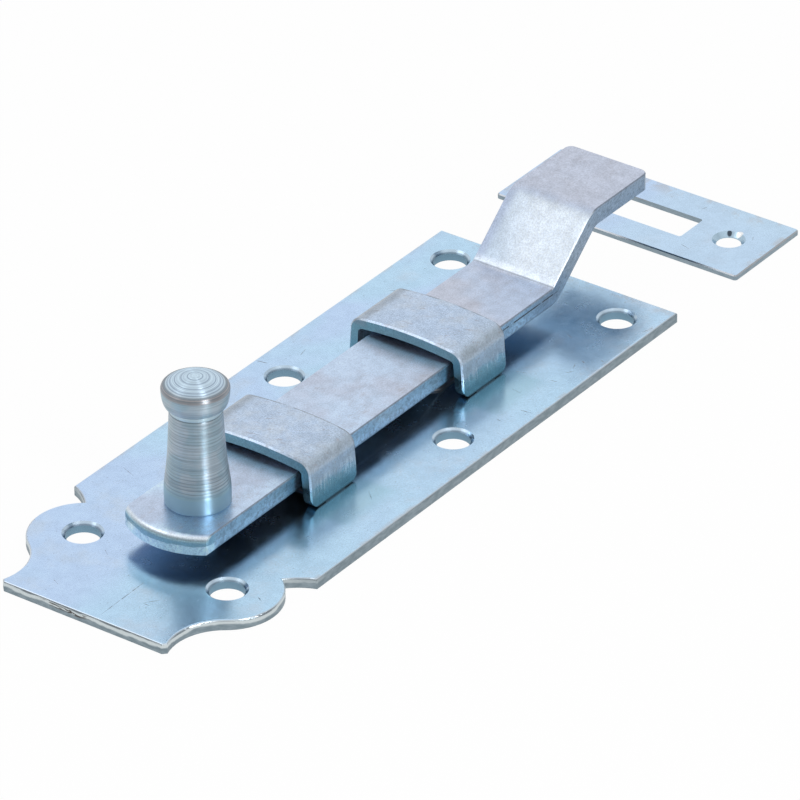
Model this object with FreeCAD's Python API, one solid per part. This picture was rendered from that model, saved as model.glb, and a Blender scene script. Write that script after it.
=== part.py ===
import FreeCAD, Part
import math
import os

from FreeCAD import Vector

# Cranked plate bolt for a door or gate, with the strike plate of the same set.
# Millimetres. +X is the way the bolt shoots, +Z stands off the door, and the
# origin is the middle of the base plate's back face. Stations named "from_end"
# are measured from the ornamental near end of the base plate.

os.makedirs("parts", exist_ok=True)

# Base plate
plate_length = 140.0
plate_width = 52.0
plate_thickness = 2.0
plate_edge_round = 0.45

# Screw holes of the base plate, pressed to a bevelled mouth
screw_bore = 6.2
screw_mouth_bevel = 0.6
near_hole_from_end = 20.0
near_hole_spacing = 30.8
far_hole_from_far_end = 8.0
hole_row_pitch = 50.5
side_hole_spacing = 36.6

# Ornamental near end: a lobe round each near hole, a waist before it, a notch after it
lobe_radius = 9.8
waist_from_end = 4.0
waist_width = 33.8
lobe_end_from_end = 27.9
notch_from_end = 31.1
notch_hollow = 0.35
end_corner_nip = 0.7

# Bolt bar, flat bar cranked up towards its tip
bar_width = 17.6
bar_thickness = 3.5
bar_underside_gap = 3.2
bar_start_from_end = 19.4
bar_side_shift = -0.75
bar_end_bow = 3.0
bar_end_round = 1.25
bar_edge_bevel = 0.2
crank_from_end = 125.1
crank_rise = 10.2
crank_angle = 40.0
bar_tip_from_end = 154.9
tip_corner_radius = 1.6
lower_bend_radius = 3.2
upper_bend_radius = 4.2

# Guides, two bent straps riveted through the plate
strap_thickness = 2.0
leg_thickness = 1.7
strap_width = 13.2
strap_edge_bevel = 0.3
near_guide_from_end = 54.6
guide_pitch = 44.8
side_play = 1.5
shoulder_play = 0.4
crown_rise = 0.7
leg_lean = 4.0
outer_bend_radius = 2.6
rivet_tab_width = 5.6
leg_foot_gap = 0.12
leg_foot_round = 2.2

# Knob, turned and riveted into the bar
knob_from_end = 31.35
knob_height = 24.5
knob_foot_radius = 5.8
knob_collar_height = 3.3
knob_neck_radius = 4.65
knob_neck_height = 17.8
knob_bead_radius = 4.95
knob_bead_height = 0.45
knob_head_radius = 5.92
knob_head_height = 22.2
knob_rim_bevel = 0.6
knob_dome_radius = 5.2
knob_rivet_radius = 3.0
knob_waist_hollow = 0.12

# Bowed leaf spring between the plate and the bar
spring_thickness = 0.5
spring_width = 15.0
spring_foot_length = 9.0
spring_ramp_length = 6.5
spring_bend_radius = 3.0
spring_running_gap = 0.15

# Strike plate, lying beyond the tip on the surface that the base plate lies on
strike_length = 53.0
strike_width = 21.0
strike_thickness = 1.0
strike_gap_from_plate = 18.3
strike_edge_bevel = 0.2
strike_corner_radius = 0.6
slot_length = 20.4
slot_width = 7.6
slot_offset = -0.5
slot_corner_radius = 0.5
strike_bore = 4.6
strike_hole_spacing = 36.0
strike_dish_radius = 3.1

# Places worked out from the sizes above
near_end = -plate_length / 2
far_end = plate_length / 2
bar_bottom = plate_thickness + bar_underside_gap
bar_top = bar_bottom + bar_thickness
knob_x = near_end + knob_from_end
near_guide_x = near_end + near_guide_from_end
far_guide_x = near_guide_x + guide_pitch
strike_x = far_end + strike_gap_from_plate + strike_width / 2


def drum(radius, height, x, y, z):
    """Upright cylinder."""
    return Part.makeCylinder(radius, height, Vector(x, y, z))


def slab(x_size, y_size, z_size, x, y, z):
    """Box centred on x and y that stands on z."""
    return Part.makeBox(x_size, y_size, z_size, Vector(x - x_size / 2, y - y_size / 2, z))


def face_of(edges):
    """Plane face inside a closed ring of edges."""
    return Part.Face(Part.Wire(Part.__sortEdges__(edges)))


def rounded_corners(points, radii):
    """Edges along open points, with an arc of its own radius at each inner point."""
    edges = []
    start = points[0]
    for before, corner, after, radius in zip(points, points[1:], points[2:], radii):
        into = (corner - before).normalize()
        out = (after - corner).normalize()
        turn = into.getAngle(out)
        reach = radius * math.tan(turn / 2)
        first = corner - into * reach
        last = corner + out * reach
        inward = (out - into).normalize()
        middle = corner + inward * (radius / math.cos(turn / 2) - radius)
        edges.append(Part.LineSegment(start, first).toShape())
        edges.append(Part.Arc(first, middle, last).toShape())
        start = last
    edges.append(Part.LineSegment(start, points[-1]).toShape())
    return edges


def beside(points, distance):
    """The same open line in the XZ plane, moved sideways by a distance (+ is up)."""
    normals = []
    for a, b in zip(points, points[1:]):
        along = (b - a).normalize()
        normals.append(Vector(-along.z, 0, along.x))
    moved = [points[0] + normals[0] * distance]
    for point, n1, n2 in zip(points[1:], normals, normals[1:]):
        moved.append(point + (n1 + n2) * (distance / (1 + n1.dot(n2))))
    moved.append(points[-1] + normals[-1] * distance)
    return moved


def bent_strip(middle, bend_radii, thickness, width):
    """Flat strip bent along its middle line, across Y; radii are at the middle line."""
    half = thickness / 2
    upper = beside(middle, half)
    lower = beside(middle, -half)
    turns = []
    for a, b, c in zip(middle, middle[1:], middle[2:]):
        turns.append(1 if (b - a).cross(c - b).y < 0 else -1)
    upper_radii = [r - half * t for r, t in zip(bend_radii, turns)]
    lower_radii = [r + half * t for r, t in zip(bend_radii, turns)]
    edges = rounded_corners(upper, upper_radii) + rounded_corners(lower, lower_radii)
    edges.append(Part.LineSegment(upper[0], lower[0]).toShape())
    edges.append(Part.LineSegment(upper[-1], lower[-1]).toShape())
    strip = face_of(edges).extrude(Vector(0, width, 0))
    strip.translate(Vector(0, -width / 2, 0))
    return strip


def edges_in_plane(shape, height):
    """Edges that lie in the level plane at a height."""
    return [e for e in shape.Edges if abs(e.BoundBox.ZMin - height) < 1e-6 and e.BoundBox.ZLength < 1e-6]


def save(shape, name):
    """Write one sub-part and report its size."""
    solid = shape.removeSplitter()
    if len(solid.Solids) == 1:
        solid = solid.Solids[0]
    solid.exportStep("parts/" + name + ".step")
    box = solid.BoundBox
    print(name, "volume %.1f" % solid.Volume, "valid", solid.isValid(),
          "x %.2f..%.2f y %.2f..%.2f z %.2f..%.2f" % (box.XMin, box.XMax, box.YMin, box.YMax, box.ZMin, box.ZMax))
    return solid


def screw_holes():
    """Centres of the six screw holes: near pair, middle pair, far pair."""
    far_x = far_end - far_hole_from_far_end
    rows = ((near_end + near_hole_from_end, near_hole_spacing),
            (far_x - hole_row_pitch, side_hole_spacing),
            (far_x, side_hole_spacing))
    return [(x, side * spacing / 2) for x, spacing in rows for side in (1, -1)]


def plate_outline():
    """Outline of the base plate: plain far end, lobed and notched near end."""
    hole_x = near_end + near_hole_from_end
    hole_y = near_hole_spacing / 2
    waist_x = near_end + waist_from_end
    waist_y = waist_width / 2
    rise = waist_y - hole_y
    run = hole_x - waist_x
    # the waist's hollow arc meets the lobe's arc without a corner
    hollow = (run ** 2 + rise ** 2 - lobe_radius ** 2) / (2 * (lobe_radius - rise))
    hollow_y = waist_y + hollow
    # each sharp end corner is nipped off
    nip_x = near_end + end_corner_nip
    nip_y = hollow_y - math.sqrt(hollow ** 2 - (waist_from_end - end_corner_nip) ** 2)
    end_y = nip_y - end_corner_nip
    to_lobe = Vector(hole_x - waist_x, hole_y - hollow_y, 0).normalize()
    join = Vector(waist_x, hollow_y, 0) + to_lobe * hollow
    lobe_x = near_end + lobe_end_from_end
    lobe_y = hole_y + math.sqrt(lobe_radius ** 2 - (lobe_x - hole_x) ** 2)
    notch_x = near_end + notch_from_end
    slope = Vector(notch_x - lobe_x, plate_width / 2 - lobe_y, 0)
    inward = Vector(slope.y, -slope.x, 0).normalize()
    notch_middle = Vector(lobe_x, lobe_y, 0) + slope * 0.5 + inward * notch_hollow
    half = [Part.LineSegment(Vector(near_end, end_y, 0), Vector(nip_x, nip_y, 0)).toShape(),
            Part.Arc(Vector(nip_x, nip_y, 0), Vector(waist_x, waist_y, 0), join).toShape(),
            Part.Arc(join, Vector(hole_x, hole_y + lobe_radius, 0), Vector(lobe_x, lobe_y, 0)).toShape(),
            Part.Arc(Vector(lobe_x, lobe_y, 0), notch_middle, Vector(notch_x, plate_width / 2, 0)).toShape(),
            Part.LineSegment(Vector(notch_x, plate_width / 2, 0), Vector(far_end, plate_width / 2, 0)).toShape()]
    edges = list(half)
    for edge in half:
        edges.append(edge.mirror(Vector(0, 0, 0), Vector(0, 1, 0)))
    edges.append(Part.LineSegment(Vector(near_end, end_y, 0), Vector(near_end, -end_y, 0)).toShape())
    edges.append(Part.LineSegment(Vector(far_end, plate_width / 2, 0), Vector(far_end, -plate_width / 2, 0)).toShape())
    return edges


def make_base_plate(guides):
    """Stamped plate, rolled over at its top edge, with screw holes and rivet slots."""
    plate = face_of(plate_outline()).extrude(Vector(0, 0, plate_thickness))
    for x, y in screw_holes():
        plate = plate.cut(drum(screw_bore / 2, plate_thickness, x, y, 0))
    mouths = [e for e in edges_in_plane(plate, plate_thickness) if e.isClosed()]
    plate = plate.makeChamfer(screw_mouth_bevel, mouths)
    rim = [e for e in edges_in_plane(plate, plate_thickness) if not e.isClosed()]
    plate = plate.makeFillet(plate_edge_round, rim)
    for guide in guides:
        plate = plate.cut(guide)
    return plate


def arched_block(side, shoulder_z, crown_radius, x):
    """Solid block of the guide's section: leaning sides under a crowned top."""
    lean = math.tan(math.radians(leg_lean))
    crown_z = shoulder_z + crown_radius - math.sqrt(crown_radius ** 2 - side ** 2)
    top_z = crown_z + crown_radius / 10
    foot = side + shoulder_z * lean
    top = side - (top_z - shoulder_z) * lean
    start = x - strap_width / 2
    corners = [Vector(start, -foot, 0), Vector(start, foot, 0), Vector(start, top, top_z), Vector(start, -top, top_z)]
    block = Part.Face(Part.makePolygon(corners + corners[:1])).extrude(Vector(strap_width, 0, 0))
    centre = Vector(start, 0, crown_z - crown_radius)
    return block.common(Part.makeCylinder(crown_radius, strap_width, centre, Vector(1, 0, 0)))


def foot_outline(x, height):
    """Side shape that trims the legs: round-cornered shoulders and the rivet tab."""
    shoulder_z = plate_thickness + leg_foot_gap
    panel = slab(strap_width, plate_width, height, x, 0, shoulder_z)
    feet = [e for e in panel.Edges if e.BoundBox.YLength > 1 and abs(e.BoundBox.ZMax - shoulder_z) < 1e-6]
    panel = panel.makeFillet(leg_foot_round, feet)
    return panel.fuse(slab(rivet_tab_width, plate_width, shoulder_z + leg_foot_round, x, 0, 0))


def make_guide(x):
    """Bent strap with crowned top, leaning legs, and tabs that end flush with the plate's back."""
    inner_side = bar_width / 2 + side_play
    inner_shoulder = bar_top + shoulder_play
    crown_radius = (inner_side ** 2 + crown_rise ** 2) / (2 * crown_rise)
    inner = arched_block(inner_side, inner_shoulder, crown_radius, x)
    outer_side = inner_side + leg_thickness
    outer_radius = crown_radius + strap_thickness
    drop = math.sqrt(crown_radius ** 2 - inner_side ** 2) - math.sqrt(outer_radius ** 2 - outer_side ** 2)
    outer = arched_block(outer_side, inner_shoulder - drop, outer_radius, x)
    height = outer.BoundBox.ZMax

    def long_bends(block):
        return [e for e in block.Edges if e.BoundBox.XLength > strap_width - 0.01 and e.BoundBox.ZMin > bar_bottom]

    outer = outer.makeFillet(outer_bend_radius, long_bends(outer))
    ends = (x - strap_width / 2, x + strap_width / 2)
    rims = [e for e in outer.Edges if e.BoundBox.XLength < 1e-6 and e.BoundBox.ZMax > 1
            and min(abs(e.BoundBox.XMin - end) for end in ends) < 1e-6]
    outer = outer.makeChamfer(strap_edge_bevel, rims)
    inner = inner.makeFillet(outer_bend_radius - leg_thickness, long_bends(inner))
    return outer.cut(inner).common(foot_outline(x, height))


def make_bolt_bar():
    """Flat bar with a bowed near end, cranked up to the tip, bored for the knob's rivet.

    It lies to one side in the guides, by the side shift.
    """
    middle_z = bar_bottom + bar_thickness / 2
    run = crank_rise / math.tan(math.radians(crank_angle))
    start_x = near_end + bar_start_from_end
    crank_x = near_end + crank_from_end
    tip_x = near_end + bar_tip_from_end
    middle = [Vector(start_x, 0, middle_z), Vector(crank_x, 0, middle_z),
              Vector(crank_x + run, 0, middle_z + crank_rise), Vector(tip_x, 0, middle_z + crank_rise)]
    bar = bent_strip(middle, (lower_bend_radius, upper_bend_radius), bar_thickness, bar_width)
    half = bar_width / 2
    side_x = start_x + bar_end_bow
    corner = tip_corner_radius * (1 - math.sqrt(0.5))
    edges = [Part.Arc(Vector(side_x, -half, 0), Vector(start_x, 0, 0), Vector(side_x, half, 0)).toShape(),
             Part.LineSegment(Vector(side_x, half, 0), Vector(tip_x - tip_corner_radius, half, 0)).toShape(),
             Part.Arc(Vector(tip_x - tip_corner_radius, half, 0), Vector(tip_x - corner, half - corner, 0),
                      Vector(tip_x, half - tip_corner_radius, 0)).toShape(),
             Part.LineSegment(Vector(tip_x, half - tip_corner_radius, 0),
                              Vector(tip_x, tip_corner_radius - half, 0)).toShape(),
             Part.Arc(Vector(tip_x, tip_corner_radius - half, 0), Vector(tip_x - corner, corner - half, 0),
                      Vector(tip_x - tip_corner_radius, -half, 0)).toShape(),
             Part.LineSegment(Vector(tip_x - tip_corner_radius, -half, 0), Vector(side_x, -half, 0)).toShape()]
    plan = face_of(edges).extrude(Vector(0, 0, bar_top + crank_rise + bar_thickness))
    bar = bar.common(plan)
    end_edge = [e for e in edges_in_plane(bar, bar_top) if e.BoundBox.XMax < side_x + 0.01]
    bar = bar.makeFillet(bar_end_round, end_edge)
    long_edges = [e for e in bar.Edges if e.BoundBox.YLength < 1e-6 and e.BoundBox.XLength > 0.9 * bar_end_round
                  and abs(abs(e.BoundBox.YMax) - half) < 1e-6]
    bar = bar.makeChamfer(bar_edge_bevel, long_edges)
    bar = bar.cut(drum(knob_rivet_radius, bar_thickness, knob_x, 0, bar_bottom))
    bar.translate(Vector(0, bar_side_shift, 0))
    return bar


def make_knob():
    """Turned knob: smooth collar, waisted stem, domed head on a bead, rivet below."""
    z = bar_top

    def at(radius, height):
        return Vector(radius, 0, z + height)

    def line(start, end):
        return Part.LineSegment(start, end).toShape()

    def arc(start, middle, end):
        return Part.Arc(start, middle, end).toShape()

    stem_middle = at((knob_foot_radius + knob_neck_radius) / 2 - knob_waist_hollow,
                     (knob_collar_height + knob_neck_height) / 2)
    stem_top = at(knob_neck_radius, knob_neck_height)
    stem_foot = at(knob_foot_radius, knob_collar_height)
    bead = at(knob_bead_radius, knob_neck_height + knob_bead_height)
    head_low = at(knob_bead_radius, knob_neck_height + 2 * knob_bead_height)
    flank = knob_head_height - knob_neck_height - 2 * knob_bead_height
    swell = knob_head_radius - knob_bead_radius
    head_side = at(knob_bead_radius + swell * 0.7, knob_head_height - flank * 0.7)
    head_top = at(knob_head_radius, knob_head_height)
    dome_start = at(knob_dome_radius, knob_head_height + knob_rim_bevel)
    sag = knob_height - knob_head_height - knob_rim_bevel
    ball = (knob_dome_radius ** 2 + sag ** 2) / (2 * sag)
    half_turn = math.asin(knob_dome_radius / ball) / 2
    dome_middle = at(ball * math.sin(half_turn), knob_height - ball * (1 - math.cos(half_turn)))
    wire = [line(Vector(0, 0, bar_bottom), Vector(knob_rivet_radius, 0, bar_bottom)),
            line(Vector(knob_rivet_radius, 0, bar_bottom), at(knob_rivet_radius, 0)),
            line(at(knob_rivet_radius, 0), at(knob_foot_radius, 0)),
            line(at(knob_foot_radius, 0), stem_foot),
            arc(stem_foot, stem_middle, stem_top),
            line(stem_top, bead),
            line(bead, head_low),
            line(head_low, head_side),
            line(head_side, head_top),
            line(head_top, dome_start),
            arc(dome_start, dome_middle, at(0, knob_height)),
            line(at(0, knob_height), Vector(0, 0, bar_bottom))]
    knob = face_of(wire).revolve(Vector(0, 0, 0), Vector(0, 0, 1), 360)
    knob.translate(Vector(knob_x, bar_side_shift, 0))
    return knob


def make_leaf_spring():
    """Bowed strip: two feet on the plate inside the guides, its back under the bar."""
    low = plate_thickness + spring_thickness / 2
    high = bar_bottom - spring_running_gap - spring_thickness / 2
    inner_near = near_guide_x + strap_width / 2
    inner_far = far_guide_x - strap_width / 2
    corners = [(inner_near - spring_foot_length, low), (inner_near, low),
               (inner_near + spring_ramp_length, high), (inner_far - spring_ramp_length, high),
               (inner_far, low), (inner_far + spring_foot_length, low)]
    middle = [Vector(x, 0, z) for x, z in corners]
    return bent_strip(middle, [spring_bend_radius] * 4, spring_thickness, spring_width)


def make_strike_plate():
    """Plain plate with the bolt's slot and two dished screw holes."""
    plate = slab(strike_width, strike_length, strike_thickness, strike_x, 0, 0)
    plate = plate.makeFillet(strike_corner_radius, [e for e in plate.Edges if e.BoundBox.ZLength > 0.5])
    slot = slab(slot_width, slot_length, strike_thickness, strike_x + slot_offset, 0, 0)
    slot = slot.makeFillet(slot_corner_radius, [e for e in slot.Edges if e.BoundBox.ZLength > 0.5])
    plate = plate.makeChamfer(strike_edge_bevel, edges_in_plane(plate, strike_thickness))
    plate = plate.cut(slot)
    for side in (1, -1):
        y = side * strike_hole_spacing / 2
        plate = plate.cut(drum(strike_bore / 2, strike_thickness, strike_x, y, 0))
        dish = Part.makeCone(strike_bore / 2, strike_dish_radius, strike_thickness * 0.8,
                             Vector(strike_x, y, strike_thickness * 0.2))
        plate = plate.cut(dish)
    return plate


near_guide = make_guide(near_guide_x)
far_guide = make_guide(far_guide_x)
save(near_guide, "near_guide")
save(far_guide, "far_guide")
save(make_base_plate((near_guide, far_guide)), "base_plate")
save(make_bolt_bar(), "bolt_bar")
save(make_knob(), "knob")
save(make_leaf_spring(), "leaf_spring")
save(make_strike_plate(), "strike_plate")
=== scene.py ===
import math

import bpy
from mathutils import Matrix, Vector


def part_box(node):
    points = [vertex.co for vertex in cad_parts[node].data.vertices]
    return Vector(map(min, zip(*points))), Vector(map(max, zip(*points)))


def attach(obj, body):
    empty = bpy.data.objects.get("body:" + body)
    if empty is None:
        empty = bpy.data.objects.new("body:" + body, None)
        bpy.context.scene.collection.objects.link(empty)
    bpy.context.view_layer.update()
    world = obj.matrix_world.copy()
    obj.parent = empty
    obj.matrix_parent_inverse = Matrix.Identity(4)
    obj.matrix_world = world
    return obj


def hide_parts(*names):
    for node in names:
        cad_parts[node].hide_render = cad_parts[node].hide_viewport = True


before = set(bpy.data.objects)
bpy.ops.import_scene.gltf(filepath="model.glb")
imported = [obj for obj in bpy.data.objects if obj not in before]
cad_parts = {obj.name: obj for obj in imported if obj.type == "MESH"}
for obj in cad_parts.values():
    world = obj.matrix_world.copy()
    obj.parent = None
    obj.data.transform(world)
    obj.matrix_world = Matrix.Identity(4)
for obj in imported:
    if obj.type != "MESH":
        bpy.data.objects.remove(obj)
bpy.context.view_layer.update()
mm = 0.001

cameraSetup = {
    "target": (19.309 * mm, -1.243 * mm, 0.0),
    "azimuth": 35.983,      # degrees from +X towards +Y, the way the camera looks
    "elevation": 31.117,
    "distance": 1.24754,
    "roll": -0.337,
    "lens": 318.5,          # on a 36 mm sensor
    "clipEnd": 20.0,
}

studio = {
    "floorSize": 3.0,
    "floorDrop": 0.02 * mm,         # the floor lies this far under the plate
    "floorColour": (0.92, 0.92, 0.92, 1.0),
    "floorWhite": 0.97,             # how much of the floor is plain white to the camera
    "ambient": 0.75,
    "mirrorBright": 1.12,           # what metal sees towards the bright side and overhead
    "mirrorDim": 0.46,              # what metal sees low down on the other sides
    "brightAzimuth": 36.0,
    "brightElevation": 32.0,
    "brightFade": (-0.30, 0.85),    # cosine of the angle to the bright side
    "overheadFade": (0.45, 0.75),   # how steeply upwards
}

lamps = [
    # place in metres, size, radiance seen in a mirror
    {"name": "topBox", "at": (-0.36, 0.42, 0.62), "size": (0.45, 0.35), "glow": 0.8},
    {"name": "sideBox", "at": (-0.27, -0.66, 0.40), "size": (0.20, 0.50), "glow": 8.0},
]


# small helpers for shader trees

def addNode(tree, kind, **values):
    node = tree.nodes.new(kind)
    for key, value in values.items():
        setattr(node, key, value)
    return node


def feed(tree, socket, value):
    if isinstance(value, bpy.types.NodeSocket):
        tree.links.new(value, socket)
    else:
        socket.default_value = value


def calc(tree, operation, a, b=0.0, clamp=False):
    node = addNode(tree, "ShaderNodeMath", operation=operation, use_clamp=clamp)
    feed(tree, node.inputs[0], a)
    feed(tree, node.inputs[1], b)
    return node.outputs[0]


def times(tree, value, *factors):
    for factor in factors:
        value = calc(tree, "MULTIPLY", value, factor)
    return value


def gap(tree, value, middle):
    # how far a value is from the middle, either way
    return calc(tree, "ABSOLUTE", calc(tree, "SUBTRACT", value, middle))


def spread(tree, value, low, high, newLow=0.0, newHigh=1.0):
    node = addNode(tree, "ShaderNodeMapRange", interpolation_type="SMOOTHSTEP")
    feed(tree, node.inputs["Value"], value)
    for name, number in (("From Min", low), ("From Max", high), ("To Min", newLow), ("To Max", newHigh)):
        feed(tree, node.inputs[name], number)
    return node.outputs[0]


def tint(tree, amount, colourA, colourB, mode="MIX"):
    node = addNode(tree, "ShaderNodeMix", data_type="RGBA", blend_type=mode)
    feed(tree, node.inputs[0], amount)
    feed(tree, node.inputs[6], colourA)
    feed(tree, node.inputs[7], colourB)
    return node.outputs[2]


def placed(tree, at=(0, 0, 0), turn=(0, 0, 0), size=(1, 1, 1)):
    # Object coordinates moved, turned and stretched
    coords = tree.nodes.get("objectCoords")
    if coords is None:
        coords = addNode(tree, "ShaderNodeTexCoord", name="objectCoords")
    mapping = addNode(tree, "ShaderNodeMapping", vector_type="TEXTURE")
    feed(tree, mapping.inputs["Vector"], coords.outputs["Object"])
    mapping.inputs["Location"].default_value = at
    mapping.inputs["Rotation"].default_value = turn
    mapping.inputs["Scale"].default_value = size
    return mapping.outputs[0]


def axes(tree, vector):
    node = addNode(tree, "ShaderNodeSeparateXYZ")
    feed(tree, node.inputs[0], vector)
    return node.outputs[0], node.outputs[1], node.outputs[2]


def reach(tree, at, turn=0.0, size=(1, 1, 1000)):
    # distance from an upright line, in the units of size
    node = addNode(tree, "ShaderNodeVectorMath", operation="LENGTH")
    feed(tree, node.inputs[0], placed(tree, at, (0, 0, turn), size))
    return node.outputs["Value"]


def grain(tree, vector, featureSize, detail=3.0, roughness=0.5, distortion=0.0):
    node = addNode(tree, "ShaderNodeTexNoise")
    feed(tree, node.inputs["Vector"], vector)
    node.inputs["Scale"].default_value = 1.0 / featureSize
    node.inputs["Detail"].default_value = detail
    node.inputs["Roughness"].default_value = roughness
    node.inputs["Distortion"].default_value = distortion
    return node.outputs[0]


def layer(tree, vector, size, detail, roughness, low, high, newLow=0.0, newHigh=1.0, distortion=0.0):
    # patches of grain: the grain from low to high becomes newLow to newHigh
    return spread(tree, grain(tree, vector, size, detail, roughness, distortion), low, high, newLow, newHigh)


def bumped(tree, height, strength, distance, base=None):
    node = addNode(tree, "ShaderNodeBump")
    node.inputs["Strength"].default_value = strength
    node.inputs["Distance"].default_value = distance
    feed(tree, node.inputs["Height"], height)
    if base is not None:
        feed(tree, node.inputs["Normal"], base)
    return node.outputs[0]


def relief(tree, vector, size, detail, strength, distance, base=None):
    # fine unevenness all over
    return bumped(tree, grain(tree, vector, size, detail), strength, distance, base)


def mottled(tree, colour, fine, fineDepth, wide, wideDepth):
    # lighter and darker grain at two sizes
    for size, depth in ((fine, fineDepth), (wide, wideDepth)):
        shade = layer(tree, placed(tree, (size, 3 * size, 0)), size, 3.0, 0.6, 0.32, 0.68, 1 - depth, 1 + depth)
        colour = tint(tree, 1.0, colour, shade, "MULTIPLY")
    return colour


def facingAxes(tree):
    return axes(tree, addNode(tree, "ShaderNodeNewGeometry").outputs["Normal"])


def steepness(tree, faceUp):
    # both are 0 on level faces and 1 on upright ones, and the second is 1 on rounded edges too
    level = calc(tree, "ABSOLUTE", faceUp)
    return spread(tree, level, 0.80, 0.20), spread(tree, level, 0.985, 0.75)


def newMaterial(name):
    material = bpy.data.materials.new(name)
    material.use_nodes = True
    shader = material.node_tree.nodes["Principled BSDF"]
    shader.inputs["Metallic"].default_value = 1.0
    return material, material.node_tree, shader


def dress(nodeName, material):
    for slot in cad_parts[nodeName].material_slots:
        slot.material = material


# where things are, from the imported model

knobHeight = 24.5 * mm      # above the bar's top
knobLow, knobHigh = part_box("knob")
knobX = (knobLow[0] + knobHigh[0]) / 2
knobY = (knobLow[1] + knobHigh[1]) / 2
barTop = knobHigh[2] - knobHeight
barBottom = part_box("bolt_bar")[0][2]
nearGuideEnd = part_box("near_guide")[1][0]
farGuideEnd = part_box("far_guide")[1][0]


# In each finish below, colours come first. A pair is where a change starts and where it is
# complete. A grain has its feature size, detail, roughness, the two levels it is spread
# between, and the two values they become. A relief has size, detail, strength and height.

# base plate and strike plate: bright zinc with blue passivation

plateFinish = {
    "sky": (0.520, 0.750, 0.955, 1.0),
    "lavender": (0.545, 0.715, 0.970, 1.0),
    "pale": (0.600, 0.700, 0.820, 1.0),
    "scratch": (0.180, 0.165, 0.175, 1.0),
    "legReflectionTeal": (0.360, 0.600, 0.730, 1.0),      # painted reflection of the guides' teal legs, with painted shade, by their feet
    "worn": (0.520, 0.500, 0.490, 1.0),         # along the rim
    "rim": (0.540, 0.590, 0.640, 1.0),
    "pressed": (0.540, 0.660, 0.770, 1.0),      # round the holes
    "mouth": (0.120, 0.170, 0.220, 1.0),
    "bore": (0.200, 0.330, 0.430, 1.0),
    "cutEdge": (0.205, 0.262, 0.296, 1.0),
    "cutPale": (0.370, 0.442, 0.488, 1.0),
    "rolled": (0.740, 0.800, 0.810, 1.0),
    "burr": (0.190, 0.200, 0.215, 1.0),
    "grime": (0.060, 0.050, 0.048, 1.0),
    "thickness": 2 * mm,
    "halfWidth": 26 * mm,
    "farEnd": 70 * mm,
    "lavenderFrom": (-4 * mm, 8 * mm),          # lavender on the side of +y
    "lavenderAmount": (0.25, 1.0),
    "wornRim": (0.955, 0.995),                  # share of the way out to the rim
    "wornAmount": 0.45,
    "edgeAmount": 0.8,
    "guidesAt": (-15.4, 29.4),                  # middle x in mm
    "legReflectionReach": (8.2 * mm, 6.0 * mm),
    "legReflectionAmount": 0.6,
    "legReflectionOuter": (-22 * mm, -18 * mm),
    "legReflectionInner": (-11.5 * mm, -12.5 * mm),
    "holes": ((-50.0, 15.4), (-50.0, -15.4), (11.5, 18.3), (11.5, -18.3), (62.0, 18.3), (62.0, -18.3)),
    "mouthReach": (4.6 * mm, 4.3 * mm),
    "lipReach": (3.45 * mm, 3.2 * mm),
    "rolledAlong": (-34 * mm, -46 * mm),        # the cut edge is rolled pale towards the near end
    "rolledAmount": 0.75,
    "rolledFoot": (0.42, 0.60),                 # share of the thickness, as the next ones
    "rolledHead": (0.92, 0.80),
    "burrFoot": (0.84, 0.94),
    "burrAmount": 0.8,
    "grimeLevel": 0.62,
    "grimeHeight": (0.22, 0.12),
    "grimeMiddle": 3.4 * mm,                    # y on the near end
    "grimeReach": (6.5 * mm, 1.95 * mm),
    "glints": (),
    "patches": (30 * mm, 2.0, 0.5, 0.40, 0.60),
    "patchSwirl": 0.6,
    "clouds": (9 * mm, 5.0, 0.65, 0.50, 0.72, 0.0, 0.45),
    "specks": (0.55 * mm, 2.0, 0.6, 0.66, 0.75, 0.0, 0.30),
    "mottle": (0.26 * mm, 0.055, 2.6 * mm, 0.035),
    "scratchBreaks": (0.9 * mm, 3.0, 0.5, 0.35, 0.60, 0.15, 0.9),
    "wornPatches": (4 * mm, 4.0, 0.65, 0.46, 0.60),
    "edgeWander": (5 * mm, 3.0, 0.5, 0.30, 0.70, -0.12, 0.12),
    "edgeStreaks": (0.5 * mm, 3.0, 0.5, 0.30, 0.75, 0.0, 0.55),
    "burrBreaks": (6 * mm, 3.0, 0.5, 0.42, 0.55),
    "grimeDashes": (0.6 * mm, 3.0, 0.5, 0.44, 0.52),
    "dull": (7 * mm, 5.0, 0.65, 0.35, 0.70, 0.195, 0.285),
    "cutRoughness": 0.48,
    "fineRelief": (0.30 * mm, 2.0, 0.16, 0.012 * mm),
    "wideRelief": (2.2 * mm, 3.0, 0.14, 0.012 * mm),
    "scratchStrength": 0.6,
    "scratchDepth": 0.05 * mm,
}

strikeFinish = dict(
    plateFinish,
    sky=(0.560, 0.745, 0.925, 1.0),
    rim=(0.400, 0.385, 0.380, 1.0),
    mouth=(0.420, 0.570, 0.680, 1.0),
    bore=(0.400, 0.540, 0.640, 1.0),
    cutEdge=(0.250, 0.320, 0.370, 1.0),
    burr=(0.330, 0.315, 0.310, 1.0),
    thickness=1 * mm,
    farEnd=109.3 * mm,
    guidesAt=(),
    holes=((98.8, 18.0), (98.8, -18.0)),
    rolledAmount=0.0,
    grimeMiddle=None,
    glints=(
        # x, y, radius in mm and colour: a painted highlight and a painted dark reflection on facets of the dished
        # hole
        (101.8, -18.5, 0.75, (1.0, 1.0, 1.0, 1.0)),
        (101.2, -16.6, 0.55, (0.03, 0.04, 0.06, 1.0)),
    ),
)

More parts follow.
